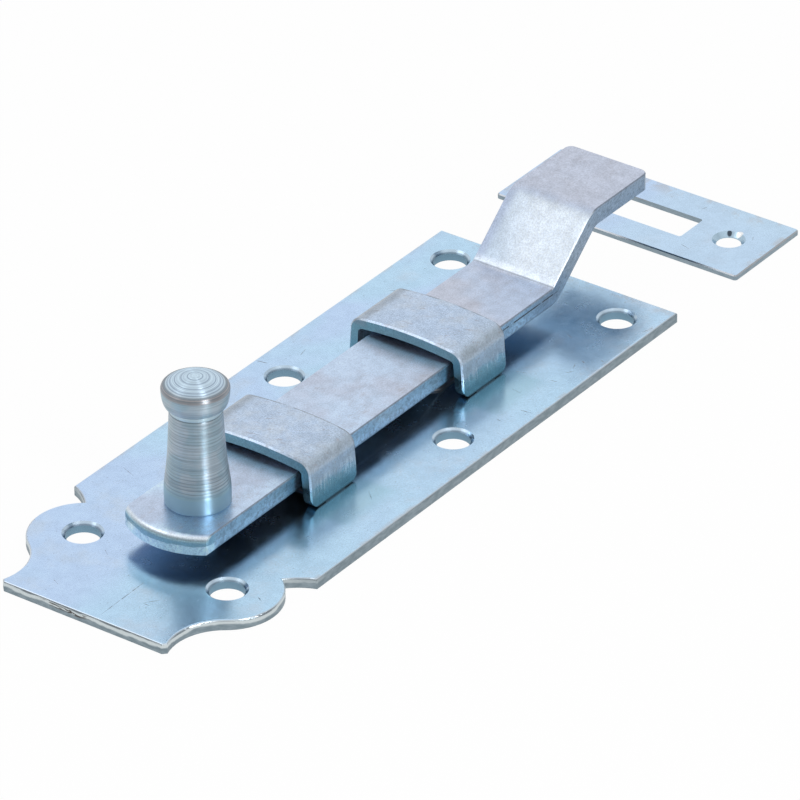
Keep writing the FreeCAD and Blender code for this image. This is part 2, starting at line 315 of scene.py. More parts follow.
plateScratches = [
    # middle x, middle y, length, width, turn in degrees, all in mm
    (-62.4, -2.9, 15.4, 0.10, 1.0),
    (-60.5, -7.5, 3.2, 0.07, -38.0),
    (-65.0, 9.5, 2.4, 0.07, 62.0),
    (-52.0, 19.5, 2.0, 0.08, 35.0),
    (-30.0, 21.0, 4.5, 0.07, 70.0),
    (-12.0, -17.5, 3.4, 0.08, 48.0),
    (12.0, -20.5, 2.6, 0.07, -25.0),
    (31.0, -18.0, 3.0, 0.08, 80.0),
    (44.0, -21.5, 1.8, 0.09, 20.0),
    (52.0, -15.0, 2.2, 0.07, 66.0),
    (20.0, 20.5, 3.0, 0.07, 12.0),
    (47.0, 20.0, 2.4, 0.07, -50.0),
    (46.0, -22.1, 1.0, 0.14, -108.0),
    (41.8, -22.1, 1.9, 0.10, -33.0),
    (36.8, -15.0, 2.2, 0.09, -73.0),
    (26.2, -23.4, 3.7, 0.10, -82.0),
    (21.1, -21.4, 1.6, 0.10, -94.0),
    (37.6, -21.6, 1.6, 0.09, -81.0),
    (48.2, -24.6, 1.0, 0.12, -100.0),
    (24.5, -11.7, 1.9, 0.08, -117.0),
    (61.8, -25.1, 3.4, 0.09, -17.0),
    (-51.1, 25.4, 3.4, 0.09, -124.0),
    (-57.8, 21.6, 7.1, 0.08, -136.0),
    (-52.7, 8.3, 2.7, 0.07, -127.0),
    (-61.8, -7.3, 1.7, 0.08, -89.0),
    (-49.5, -21.9, 1.7, 0.12, -120.0),
    (13.1, 24.4, 3.2, 0.11, -80.0),
]

strikeScratches = [
    (101.5, -21.5, 2.2, 0.07, 30.0),
    (92.0, -13.0, 2.8, 0.07, 75.0),
    (106.0, -8.0, 1.8, 0.07, -20.0),
]


def nearestOf(tree, distances):
    # each distance joins the chain as soon as its nodes are made, so few values wait for use
    nearest = None
    for distance in distances:
        nearest = distance if nearest is None else calc(tree, "MINIMUM", nearest, distance)
    return nearest


def scratchMask(tree, scratches):
    # each scratch is a thin ellipse, 1 on its outline
    spots = (reach(tree, (x * mm, y * mm, 0), math.radians(turn), (length / 2 * mm, width * mm, 1000))
             for x, y, length, width, turn in scratches)
    return spread(tree, nearestOf(tree, spots), 1.0, 0.45)


def holeDistance(tree, holes):
    # how far the nearest screw hole's middle is
    return nearestOf(tree, (reach(tree, (x * mm, y * mm, 0)) for x, y in holes))


# The renderer drops a material with too many nodes and leaves it black without a word. The base plate's is near
# that.

def zincSheet(name, finish, scratches):
    material, tree, shader = newMaterial(name)
    whole = placed(tree)
    x, y, z = axes(tree, whole)

    leftSide = spread(tree, spread(tree, y, *finish["lavenderFrom"]), 0.0, 1.0, *finish["lavenderAmount"])
    patches = layer(tree, whole, *finish["patches"], distortion=finish["patchSwirl"])
    colour = tint(tree, times(tree, patches, leftSide), finish["sky"], finish["lavender"])
    clouds = layer(tree, placed(tree, (0.3, 0.1, 0)), *finish["clouds"])
    colour = tint(tree, clouds, colour, finish["pale"])
    colour = tint(tree, layer(tree, whole, *finish["specks"]), colour, finish["scratch"])
    colour = mottled(tree, colour, *finish["mottle"])
    marks = times(tree, scratchMask(tree, scratches), layer(tree, whole, *finish["scratchBreaks"]))
    colour = tint(tree, marks, colour, finish["scratch"])

    # painted reflection of each guide's leg, with painted shade, on the plate beside its foot
    for guideX in finish["guidesAt"]:
        legReflection = spread(tree, gap(tree, x, guideX * mm), *finish["legReflectionReach"], 0.0, finish["legReflectionAmount"])
        legReflection = times(tree, legReflection, spread(tree, y, *finish["legReflectionOuter"]),
                          spread(tree, y, *finish["legReflectionInner"]))
        colour = tint(tree, legReflection, colour, finish["legReflectionTeal"])

    across = calc(tree, "DIVIDE", calc(tree, "ABSOLUTE", y), finish["halfWidth"])
    outwards = calc(tree, "MAXIMUM", across, calc(tree, "DIVIDE", x, finish["farEnd"]))
    worn = times(tree, spread(tree, outwards, *finish["wornRim"]),
                 layer(tree, placed(tree, (0, 0.4, 0)), *finish["wornPatches"]), finish["wornAmount"])
    colour = tint(tree, worn, colour, finish["worn"])

    upright, turned = steepness(tree, facingAxes(tree)[2])
    distance = holeDistance(tree, finish["holes"])
    mouths = spread(tree, distance, *finish["mouthReach"])
    lips = spread(tree, distance, *finish["lipReach"])
    rounded = tint(tree, mouths, finish["rim"], finish["pressed"])
    rounded = tint(tree, lips, rounded, finish["mouth"])
    colour = tint(tree, times(tree, turned, finish["edgeAmount"]), colour, rounded)

    # the cut edge: rolled and pale above, torn and grey below, with a dark burr along its top
    level = calc(tree, "DIVIDE", z, finish["thickness"])
    level = calc(tree, "ADD", level, layer(tree, whole, *finish["edgeWander"]))
    streaks = layer(tree, placed(tree, size=(3, 3, 1)), *finish["edgeStreaks"])
    edge = tint(tree, streaks, finish["cutEdge"], finish["cutPale"])
    if finish["rolledAmount"]:
        rolled = times(tree, spread(tree, level, *finish["rolledFoot"]), spread(tree, level, *finish["rolledHead"]),
                       spread(tree, x, *finish["rolledAlong"], 0.0, finish["rolledAmount"]))
        edge = tint(tree, rolled, edge, finish["rolled"])
    burr = times(tree, spread(tree, level, *finish["burrFoot"]),
                 layer(tree, placed(tree, (0.2, 0, 0)), *finish["burrBreaks"]), finish["burrAmount"])
    edge = tint(tree, burr, edge, finish["burr"])
    if finish["grimeMiddle"] is not None:
        grime = times(tree, spread(tree, gap(tree, y, finish["grimeMiddle"]), *finish["grimeReach"]),
                      layer(tree, placed(tree, size=(1, 5, 1)), *finish["grimeDashes"]),
                      spread(tree, gap(tree, level, finish["grimeLevel"]), *finish["grimeHeight"]))
        edge = tint(tree, grime, edge, finish["grime"])
    edge = tint(tree, mouths, edge, finish["bore"])
    colour = tint(tree, upright, colour, edge)

    # painted highlights and painted dark reflections, where a finish lists them
    for glintX, glintY, size, shade in finish["glints"]:
        glint = spread(tree, reach(tree, (glintX * mm, glintY * mm, 0)), size * mm, size * 0.6 * mm, 0.0, 0.9)
        colour = tint(tree, glint, colour, shade)
    feed(tree, shader.inputs["Base Color"], colour)

    dull = calc(tree, "MAXIMUM", layer(tree, whole, *finish["dull"]), times(tree, upright, finish["cutRoughness"]))
    feed(tree, shader.inputs["Roughness"], dull)
    uneven = relief(tree, whole, *finish["fineRelief"])
    uneven = relief(tree, whole, *finish["wideRelief"], uneven)
    uneven = bumped(tree, marks, finish["scratchStrength"], -finish["scratchDepth"], uneven)
    feed(tree, shader.inputs["Normal"], uneven)
    return material


dress("base_plate", zincSheet("zincPlate", plateFinish, plateScratches))
dress("strike_plate", zincSheet("zincStrike", strikeFinish, strikeScratches))
print("plates dressed")


# bolt bar: duller zinc on flat bar, sheared sides, a grainy crank painted bright where lit, and painted light and
# shade on edges, crease, sides' bottom and underside

barFinish = {
    "lilac": (0.550, 0.645, 0.815, 1.0),
    "near": (0.625, 0.790, 1.000, 1.0),
    "grey": (0.580, 0.625, 0.745, 1.0),
    "brown": (0.420, 0.395, 0.410, 1.0),
    # the next colour is painted light on the incline and on rounded edges that face the near end; the one after is
    # painted shade on other rounded edges, the crease and the sides' bottom, and real blotches on the cut
    "bright": (0.790, 0.865, 0.930, 1.0),
    "blotchAndShade": (0.170, 0.210, 0.270, 1.0),
    "slopeShade": (0.470, 0.590, 0.730, 1.0),
    "slopeRimShade": (0.380, 0.455, 0.620, 1.0),
    "endUpper": (0.310, 0.490, 0.585, 1.0),
    "endLower": (0.740, 0.910, 0.990, 1.0),
    "crankSide": (0.290, 0.375, 0.480, 1.0),
    "crankGrain": (0.130, 0.165, 0.210, 1.0),
    "side": (0.400, 0.545, 0.660, 1.0),
    "torn": (0.500, 0.660, 0.800, 1.0),
    "crack": (0.060, 0.065, 0.080, 1.0),
    # painted shade on the underside, less dark under the crank and the near end, and painted light under the
    # crank's bend
    "undersideShade": (0.095, 0.120, 0.170, 1.0),
    "crankUndersideShade": (0.105, 0.180, 0.250, 1.0),
    "bendUndersideLight": (0.400, 0.500, 0.580, 1.0),
    "nearUndersideShade": (0.190, 0.262, 0.345, 1.0),
    "betweenGuides": (31 * mm, 26 * mm),        # x, as the other places down to underNear
    "betweenAmount": 0.55,
    "nearFrom": (-20 * mm, -32 * mm),
    "rubbedAlong": (22 * mm, 44 * mm),
    "rubbedAmount": (0.42, 0.26),
    "upperFrom": (65.9 * mm, 68.9 * mm),
    "upperAmount": 0.8,
    "slopeFrom": (54.2 * mm, 56.2 * mm),
    "slopeTo": (67.4 * mm, 65.4 * mm),
    "slopeAmount": 0.85,
    "creaseAt": 54.65 * mm,
    "creaseReach": (0.20 * mm, 0.06 * mm),
    "creaseShadeAmount": 0.38,
    "crankSideFrom": (44 * mm, 53 * mm),
    "crankSideAmount": 0.9,
    "endFrom": (-45 * mm, -46.2 * mm),
    "crackFrom": (36 * mm, 41 * mm),
    "crackTo": (56.4 * mm, 55.4 * mm),
    "underCrank": (38 * mm, 50 * mm),
    "underBend": (57 * mm, 63 * mm),
    "underTip": (76 * mm, 69 * mm),
    "underNear": (-34 * mm, -46 * mm),
    "slopeLit": (2.0 * mm, -9.0 * mm),          # y, less half of z: from painted shade to painted light
    "slopeLeftShade": (5.4 * mm, 7.4 * mm),
    "slopeLeftShadeAmount": 0.75,
    "slopeShadeAmount": 0.8,
    "slopeLilac": 0.35,
    "edgeAmount": 0.8,
    "tornBelow": (2.7 * mm, 2.5 * mm),          # above the bar's bottom, as down to bottomEdge
    "tornAmount": 0.75,
    "endBelow": (2.55 * mm, 2.40 * mm),
    "crackHeight": 2.35 * mm,
    "crackReach": (0.19 * mm, 0.08 * mm),
    "bottomEdge": (0.7 * mm, 0.2 * mm),
    "bottomShadeAmount": 0.6,
    "tearWave": 1.6 * mm,
    "tones": (12 * mm, 3.0, 0.5, 0.40, 0.62),
    "rubs": (5 * mm, 6.0, 0.72, 0.52, 0.72),
    "flecks": (0.5 * mm, 2.0, 0.5, 0.66, 0.76, 0.0, 0.35),
    "speckle": (0.32 * mm, 2.0, 0.6, 0.40, 0.62),
    "blotches": (0.7 * mm, 4.0, 0.7, 0.44, 0.62, 0.0, 0.5),
    "crankStreaks": (0.22 * mm, 4.0, 0.7, 0.46, 0.62, 0.0, 0.8),
    "crackBreaks": (1.1 * mm, 3.0, 0.5, 0.36, 0.46),
    "mottle": (0.28 * mm, 0.11, 2.2 * mm, 0.07),
    "roughness": (0.33, 0.46),
    "slopeRoughness": 0.42,
    "fineRelief": (0.35 * mm, 3.0, 0.22, 0.02 * mm),
    "slopeRelief": (0.45, 0.03 * mm),
    "sideGrain": 0.8 * mm,
    "sideRelief": (0.5, 0.06 * mm),
    "crackRelief": (0.8, -0.1 * mm),
}


def zincBar(finish):
    material, tree, shader = newMaterial("zincBar")
    whole = placed(tree)
    x, y, z = axes(tree, whole)
    height = calc(tree, "SUBTRACT", z, barBottom)

    tone = layer(tree, whole, *finish["tones"])
    colour = tint(tree, tone, finish["lilac"], finish["grey"])
    nearColour = tint(tree, tone, finish["near"], finish["lilac"])
    between = spread(tree, x, *finish["betweenGuides"], 0.0, finish["betweenAmount"])
    colour = tint(tree, between, colour, nearColour)
    colour = tint(tree, spread(tree, x, *finish["nearFrom"]), colour, nearColour)
    colour = tint(tree, spread(tree, x, *finish["upperFrom"], 0.0, finish["upperAmount"]), colour, finish["grey"])
    rubbed = layer(tree, placed(tree, (0.1, 0.2, 0), size=(1.6, 1, 1)), *finish["rubs"])
    rubbedDepth = spread(tree, x, *finish["rubbedAlong"], *finish["rubbedAmount"])
    colour = tint(tree, times(tree, rubbed, rubbedDepth), colour, finish["brown"])
    colour = tint(tree, layer(tree, whole, *finish["flecks"]), colour, finish["brown"])

    # the incline between the two bends: grainy, with painted light towards -y and painted shade towards +y and on
    # its +y rim
    slope = times(tree, spread(tree, x, *finish["slopeFrom"]), spread(tree, x, *finish["slopeTo"]))
    speckle = layer(tree, whole, *finish["speckle"])
    grainy = tint(tree, times(tree, speckle, finish["slopeLilac"]), finish["bright"], finish["lilac"])
    lit = spread(tree, calc(tree, "ADD", y, times(tree, z, -0.5)), *finish["slopeLit"])
    grainy = tint(tree, lit, tint(tree, finish["slopeShadeAmount"], grainy, finish["slopeShade"]), grainy)
    leftRimShade = spread(tree, y, *finish["slopeLeftShade"], 0.0, finish["slopeLeftShadeAmount"])
    grainy = tint(tree, leftRimShade, grainy, finish["slopeRimShade"])
    colour = tint(tree, times(tree, slope, finish["slopeAmount"]), colour, grainy)

    faceX, faceY, faceZ = facingAxes(tree)
    upright, turned = steepness(tree, faceZ)
    # rounded edges: a painted highlight where they face the near end, painted shade elsewhere
    edges = tint(tree, spread(tree, faceX, -0.10, -0.30), finish["blotchAndShade"], finish["bright"])
    offSlope = calc(tree, "SUBTRACT", turned, slope, clamp=True)
    colour = tint(tree, times(tree, offSlope, finish["edgeAmount"]), colour, edges)
    # painted shade: a dark line in the crease at the foot of the incline
    creaseShade = spread(tree, gap(tree, x, finish["creaseAt"]), *finish["creaseReach"], 0.0, finish["creaseShadeAmount"])
    colour = tint(tree, creaseShade, colour, finish["blotchAndShade"])

    # sheared sides and near end, torn below
    onSide = spread(tree, calc(tree, "ABSOLUTE", faceY), 0.75, 0.90)
    side = calc(tree, "MAXIMUM", onSide, calc(tree, "SUBTRACT", upright, slope, clamp=True))
    wave = times(tree, grain(tree, placed(tree, size=(2.5, 2.5, 1)), finish["tearWave"]), finish["tearWave"])
    tear = calc(tree, "ADD", height, wave)
    torn = spread(tree, tear, *finish["tornBelow"], 0.0, finish["tornAmount"])
    cut = tint(tree, torn, finish["side"], finish["torn"])
    blotches = layer(tree, whole, *finish["blotches"])
    cut = tint(tree, blotches, cut, finish["blotchAndShade"])
    streaks = layer(tree, placed(tree, turn=(0, -0.5, 0), size=(4, 4, 1)), *finish["crankStreaks"])
    crankCut = tint(tree, streaks, finish["crankSide"], finish["crankGrain"])
    byCrank = spread(tree, x, *finish["crankSideFrom"], 0.0, finish["crankSideAmount"])
    cut = tint(tree, byCrank, cut, crankCut)
    # painted shade along the bottom of the sides
    bottomShade = spread(tree, height, *finish["bottomEdge"], 0.0, finish["bottomShadeAmount"])
    cut = tint(tree, bottomShade, cut, finish["blotchAndShade"])
    endCut = tint(tree, blotches, finish["endLower"], finish["side"])
    endCut = tint(tree, spread(tree, tear, *finish["endBelow"]), finish["endUpper"], endCut)
    cut = tint(tree, spread(tree, x, *finish["endFrom"]), cut, endCut)
    colour = tint(tree, side, colour, cut)

    # the crack along the side, before the crank
    crack = times(tree, spread(tree, gap(tree, height, finish["crackHeight"]), *finish["crackReach"]),
                  spread(tree, x, *finish["crackFrom"]), spread(tree, x, *finish["crackTo"]),
                  layer(tree, placed(tree, size=(2, 1, 5)), *finish["crackBreaks"]), onSide)
    colour = mottled(tree, colour, *finish["mottle"])
    colour = tint(tree, crack, colour, finish["crack"])

    # the underside: painted shade, less dark under the crank and the near end, with painted light under the crank's
    # bend
    below = tint(tree, spread(tree, x, *finish["underCrank"]), finish["undersideShade"], finish["crankUndersideShade"])
    below = tint(tree, spread(tree, x, *finish["underNear"]), below, finish["nearUndersideShade"])
    bendBelow = times(tree, spread(tree, x, *finish["underBend"]), spread(tree, x, *finish["underTip"]))
    below = tint(tree, bendBelow, below, finish["bendUndersideLight"])
    colour = tint(tree, spread(tree, faceZ, -0.5, -0.9), colour, below)
    feed(tree, shader.inputs["Base Color"], colour)

    dull = calc(tree, "MAXIMUM", spread(tree, rubbed, 0.0, 1.0, *finish["roughness"]),
                times(tree, slope, finish["slopeRoughness"]))
    feed(tree, shader.inputs["Roughness"], dull)
    uneven = relief(tree, whole, *finish["fineRelief"])
    uneven = bumped(tree, times(tree, speckle, slope), *finish["slopeRelief"], uneven)
    uneven = bumped(tree, times(tree, grain(tree, whole, finish["sideGrain"]), side), *finish["sideRelief"], uneven)
    feed(tree, shader.inputs["Normal"], bumped(tree, crack, *finish["crackRelief"], uneven))
    return material


dress("bolt_bar", zincBar(barFinish))


# guides: bright strap, rubbed grey where it was bent, with painted reflection and shade on the legs and a painted
# shadow under them

guideFinish = {
    "zinc": (0.505, 0.630, 0.815, 1.0),
    "pale": (0.585, 0.680, 0.810, 1.0),
    "rubbed": (0.410, 0.490, 0.570, 1.0),
    "brown": (0.350, 0.310, 0.310, 1.0),
    # painted reflection and shade on the upright legs
    "shadedLeg": (0.288, 0.457, 0.530, 1.0),
    "brush": (0.720, 0.780, 0.830, 1.0),
    "foot": (0.150, 0.300, 0.370, 1.0),
    "edge": (0.240, 0.415, 0.480, 1.0),
    "border": (0.300, 0.340, 0.390, 1.0),
    "legGapShadow": (0.035, 0.045, 0.055, 1.0),
    "legBelow": (5.6 * mm, 4.0 * mm),           # z, as the other places down to bendLeftZ
    "legRagged": 2.2 * mm,
    "bendBelow": (11.7 * mm, 10.4 * mm),
    "brushFoot": (3.6 * mm, 5.2 * mm),
    "brushHead": (8.0 * mm, 6.6 * mm),
    "footBelow": (5.5 * mm, 3.0 * mm),
    "legGapBelow": (2.55 * mm, 2.20 * mm),
    "legGapShadowAmount": 0.85,
    "bendLeftZ": (9.5 * mm, 10.3 * mm),
    "bendLeftY": (8.0 * mm, 9.6 * mm),
    "bendLeftAmount": 0.55,
    "borderWidth": (0.75 * mm, 0.45 * mm),
    "borderAmount": 0.85,
    "brushAmount": 0.65,
    "wear": (5 * mm, 5.0, 0.7, 0.42, 0.68),
    "bendPatches": (3.5 * mm, 4.0, 0.5, 0.25, 0.65, 0.7, 1.0),
    "scuffs": (0.8 * mm, 4.0, 0.7, 0.57, 0.69, 0.0, 0.45),
    "brushing": (0.5 * mm, 3.0, 0.5, 0.50, 0.66),
    "borderWander": (2.5 * mm, 3.0, 0.5, 0.35, 0.65, 0.0, 0.35 * mm),
    "mottle": (0.30 * mm, 0.13, 2.0 * mm, 0.07),
    "roughness": (0.26, 0.38),
    "bendRoughness": 0.46,
    "fineRelief": (0.35 * mm, 3.0, 0.2, 0.02 * mm),
    "dents": (2.2 * mm, 3.0, 0.5, 0.03 * mm),
    "brushRelief": (0.4, 0.02 * mm),
}


def zincStrap(finish):
    material, tree, shader = newMaterial("zincStrap")
    whole = placed(tree)
    x, y, z = axes(tree, whole)

    # the upright legs, painted a darker teal as reflection and shade, with a ragged top
    ragged = times(tree, grain(tree, placed(tree, size=(1, 1, 3)), 1.4 * mm), finish["legRagged"])
    shadedLeg = spread(tree, calc(tree, "SUBTRACT", z, ragged), *finish["legBelow"])
    bend = spread(tree, z, *finish["bendBelow"])
    worn = layer(tree, whole, *finish["wear"])
    colour = tint(tree, worn, finish["zinc"], finish["pale"])
    colour = tint(tree, times(tree, bend, layer(tree, whole, *finish["bendPatches"])), colour, finish["rubbed"])
    colour = tint(tree, shadedLeg, colour, finish["shadedLeg"])
    scuffs = layer(tree, placed(tree, turn=(0, 0, 0.5), size=(1, 4, 1)), *finish["scuffs"])
    colour = tint(tree, scuffs, colour, finish["brown"])
    brush = times(tree, layer(tree, placed(tree, size=(1, 1, 9)), *finish["brushing"]),
                  spread(tree, z, *finish["brushFoot"]), spread(tree, z, *finish["brushHead"]))
    colour = tint(tree, times(tree, brush, finish["brushAmount"]), colour, finish["brush"])
    # painted shade: the legs darker still towards their feet
    colour = tint(tree, spread(tree, z, *finish["footBelow"]), colour, finish["foot"])
    endways = spread(tree, calc(tree, "ABSOLUTE", facingAxes(tree)[0]), 0.80, 0.95)
    colour = tint(tree, endways, colour, finish["edge"])
    # painted shadow of the gap under the legs' shoulders, along their bottom
    under = spread(tree, z, *finish["legGapBelow"], 0.0, finish["legGapShadowAmount"])
    colour = tint(tree, under, colour, finish["legGapShadow"])
    border = calc(tree, "MINIMUM", gap(tree, x, nearGuideEnd), gap(tree, x, farGuideEnd))
    border = calc(tree, "ADD", border, layer(tree, whole, *finish["borderWander"]))
    border = spread(tree, border, *finish["borderWidth"], 0.0, finish["borderAmount"])
    colour = tint(tree, border, colour, finish["border"])
    leftBend = times(tree, spread(tree, y, *finish["bendLeftY"]), spread(tree, z, *finish["bendLeftZ"]),
                     finish["bendLeftAmount"])
    colour = tint(tree, leftBend, colour, finish["border"])
    colour = mottled(tree, colour, *finish["mottle"])
    feed(tree, shader.inputs["Base Color"], colour)

    rubbedBend = times(tree, calc(tree, "SUBTRACT", bend, shadedLeg, clamp=True), finish["bendRoughness"])
    dull = calc(tree, "MAXIMUM", spread(tree, worn, 0.0, 1.0, *finish["roughness"]), rubbedBend)
    feed(tree, shader.inputs["Roughness"], dull)
    uneven = relief(tree, whole, *finish["fineRelief"])
    uneven = relief(tree, whole, *finish["dents"], uneven)
    feed(tree, shader.inputs["Normal"], bumped(tree, brush, *finish["brushRelief"], uneven))
    return material


strapMaterial = zincStrap(guideFinish)
dress("near_guide", strapMaterial)
dress("far_guide", strapMaterial)


springFinish = {
    "dark": (0.30, 0.31, 0.33, 1.0),
    "light": (0.42, 0.42, 0.44, 1.0),
    "tones": (4 * mm, 3.0, 0.5, 0.4, 0.6),
    "dull": (1.5 * mm, 3.0, 0.5, 0.3, 0.7, 0.30, 0.45),
    "relief": (0.3 * mm, 2.0, 0.2, 0.02 * mm),
}


def springSteel(finish):
    material, tree, shader = newMaterial("springSteel")
    whole = placed(tree)
    colour = tint(tree, layer(tree, whole, *finish["tones"]), finish["dark"], finish["light"])
    feed(tree, shader.inputs["Base Color"], colour)
    feed(tree, shader.inputs["Roughness"], layer(tree, whole, *finish["dull"]))
    feed(tree, shader.inputs["Normal"], relief(tree, placed(tree, size=(8, 1, 1)), *finish["relief"]))
    return material


dress("leaf_spring", springSteel(springFinish))
print("bar, guides and spring dressed")


# knob: turned on a lathe, tool marks on the stem and rings on the head

knobShape = {
    # heights are above the bar's top, and a step is a change of radius and a height in mm
    "rivetRadius": 2.98 * mm,
    "footRadius": 5.8 * mm,
    "footSteps": ((-0.12, 0.0), (-0.03, 0.1)),
    "footBevel": 0.1 * mm,
    "collarHeight": 3.3 * mm,
    "collarSwell": 0.05 * mm,
    "collarRows": 8,
    "collarGroove": (-0.07, 0.08),
    "stemTop": 17.8 * mm,
    "waistHollow": 0.22 * mm,
    "waistPlace": 0.8,              # below 1 the hollow sits higher
    "neckRadius": 4.62 * mm,
    "neckTop": 18.75 * mm,
    "neckSteps": ((-0.10, 0.02), (-0.02, 0.20), (0.05, 0.70), (0.02, 0.89)),    # above the stem
    "headLowRadius": 5.0 * mm,
    "headInset": 0.20 * mm,
    "headRadius": 5.92 * mm,
    "headHeight": 22.2 * mm,
    "flankStart": 18.87 * mm,
    "flankRows": 14,
    "shoulderSteps": ((-0.01, 0.10), (-0.09, 0.20), (-0.14, 0.42), (-0.36, 0.66)),
    "domeRadius": 5.2 * mm,
    "domeStart": 23.0 * mm,
    "domeStep": (0.10, -0.02),
    "domeRows": 53,
    "height": knobHeight,
    "toolPitch": 0.62 * mm,
    "toolDepth": 0.060 * mm,
    "headRings": (4.75 * mm, 4.3 * mm, 3.5 * mm, 2.4 * mm, 1.3 * mm),
    "ringDepth": 0.075 * mm,
    "ringWidth": 0.13 * mm,
    "rippleDepth": 0.008 * mm,
    "rippleWidth": 0.07 * mm,
    "sides": 96,
    "smoothAngle": 50,
}


def knobStations(shape):
    # radius and height above the bar's top, from the rivet's end up to the middle of the dome
    def stepped(radius, height, steps):
        return [(radius + out * mm, height + up * mm) for out, up in steps]

    stations = [(shape["rivetRadius"], barBottom - barTop), (shape["rivetRadius"], 0.0)]
    stations += stepped(shape["footRadius"], 0.0, shape["footSteps"])
    for i in range(1, shape["collarRows"] + 1):
        t = i / shape["collarRows"]
        radius = shape["footRadius"] + shape["collarSwell"] * (math.sin(t * math.pi) - 1)
        stations.append((radius, shape["footBevel"] + t * (shape["collarHeight"] - shape["footBevel"])))
    stemRadius = shape["footRadius"] - shape["collarSwell"]
    stations += stepped(stemRadius, shape["collarHeight"], [shape["collarGroove"]])

    rise = shape["stemTop"] - shape["collarHeight"]
    rows = int(rise / shape["toolPitch"]) * 4       # four rows to each turn of the tool
    for i in range(1, rows):
        t = i / rows
        radius = stemRadius + t * (shape["neckRadius"] - stemRadius)
        radius -= shape["waistHollow"] * math.sin(math.pi * t ** shape["waistPlace"])
        # deep tool marks low on the stem, faint ones above
        mark = shape["toolDepth"] * (0.45 + 0.75 * max(0.0, 1 - t * 2.2)) * (0.75 + 0.25 * math.sin(i * 1.7))
        radius += mark * math.cos(math.pi * i / 2)
        stations.append((radius, shape["collarHeight"] + t * rise))

    stations += stepped(shape["neckRadius"], shape["stemTop"], shape["neckSteps"])
    stations.append((shape["headLowRadius"] - shape["headInset"], shape["neckTop"]))
    for i in range(0, shape["flankRows"] + 1):
        # the flank swells like a quarter of an ellipse
        t = i / shape["flankRows"] * math.pi / 2
        radius = shape["headLowRadius"] + (shape["headRadius"] - shape["headLowRadius"]) * math.sin(t)
        stations.append((radius, shape["headHeight"] - (shape["headHeight"] - shape["flankStart"]) * math.cos(t)))
    stations += stepped(shape["headRadius"], shape["headHeight"], shape["shoulderSteps"])
    stations += stepped(shape["domeRadius"], shape["domeStart"], [shape["domeStep"]])

    sag = shape["height"] - shape["domeStart"]
    ball = (shape["domeRadius"] ** 2 + sag ** 2) / (2 * sag)
    for i in range(0, shape["domeRows"]):
        radius = shape["domeRadius"] * (1 - i / shape["domeRows"])
        height = shape["height"] - ball + math.sqrt(ball ** 2 - radius ** 2)
        for ring in shape["headRings"]:
            height -= shape["ringDepth"] * math.exp(-((radius - ring) / shape["ringWidth"]) ** 2)
        height -= shape["rippleDepth"] * (1 + math.cos(radius / shape["rippleWidth"]))
        stations.append((radius, height))
    return stations


def makeKnob(shape):
    centre = Vector((knobX, knobY, barTop))
    stations = knobStations(shape)
    bpy.ops.object.select_all(action="DESELECT")
    bpy.ops.mesh.primitive_circle_add(vertices=shape["sides"], radius=stations[0][0], fill_type="NGON",
                                      location=centre + Vector((0, 0, stations[0][1])))
    knob = bpy.context.object
    knob.name = "turnedKnob"
    bpy.ops.object.transform_apply(location=True, rotation=True, scale=True)
    bpy.ops.object.mode_set(mode="EDIT")
    bpy.ops.mesh.select_mode(type="EDGE")
    bpy.ops.mesh.select_all(action="SELECT")
    for (radius, height), (nextRadius, nextHeight) in zip(stations, stations[1:]):
        bpy.ops.mesh.extrude_edges_move(TRANSFORM_OT_translate={"value": (0, 0, nextHeight - height)})
        size = nextRadius / radius
        bpy.ops.transform.resize(value=(size, size, 1), center_override=centre + Vector((0, 0, nextHeight)))
    bpy.ops.mesh.merge(type="CENTER")
    bpy.ops.mesh.select_all(action="SELECT")
    bpy.ops.mesh.remove_doubles(threshold=1e-7)
    bpy.ops.mesh.normals_make_consistent(inside=False)
    bpy.ops.object.mode_set(mode="OBJECT")
    bpy.ops.object.shade_smooth_by_angle(angle=math.radians(shape["smoothAngle"]))
    return knob


knobFinish = {
    "steel": (0.460, 0.535, 0.595, 1.0),
    "teal": (0.370, 0.490, 0.560, 1.0),
    "brown": (0.430, 0.410, 0.420, 1.0),
    "line": (0.190, 0.240, 0.290, 1.0),
    "collar": (0.300, 0.460, 0.560, 1.0),
    "neckHighlight": (0.560, 0.700, 0.770, 1.0),
    "ring": (0.330, 0.420, 0.540, 1.0),
    "blueWhite": (0.700, 0.870, 1.000, 1.0),
    "collarBelow": (5.0 * mm, 3.0 * mm),        # above the bar's top, as the next five
    "stemFrom": (3.3 * mm, 3.9 * mm),
    "stemTo": (17.8 * mm, 17.4 * mm),
    "markedBelow": (10 * mm, 5.5 * mm),
    "rimFrom": (22.05 * mm, 22.2 * mm),
    "domeFrom": (22.9 * mm, 23.3 * mm),
    "markedAmount": (0.30, 0.62),
    "grooveEdge": (0.45, 1.0),                  # share of a tool mark's wave
    "grooveWander": 0.5 * mm,
    "lineAmount": 0.40,
    "neckHighlightAmount": 0.8,
    "neckFade": 0.1 * mm,
    "seamReach": (0.16 * mm, 0.05 * mm),
    "seamAmount": 0.75,
    "rimAmount": 0.9,
    "circleAmount": 0.5,
    "ringAmount": 0.85,
    "tones": (3 * mm, 4.0, 0.5, 0.4, 0.6),
    "lines": (0.34 * mm, 3.0, 0.5, 0.44, 0.60),
    "circles": (0.30 * mm, 3.0, 0.5, 0.42, 0.62),
    "roughness": 0.40,
    "grooved": 0.88,                            # how far the grooves spread the light along the axis
    "groovedTurn": 0.25,
    "scored": (0.16 * mm, 2.0, 0.5, 0.02 * mm),
    "fineRelief": (0.5 * mm, 3.0, 0.15, 0.02 * mm),
}


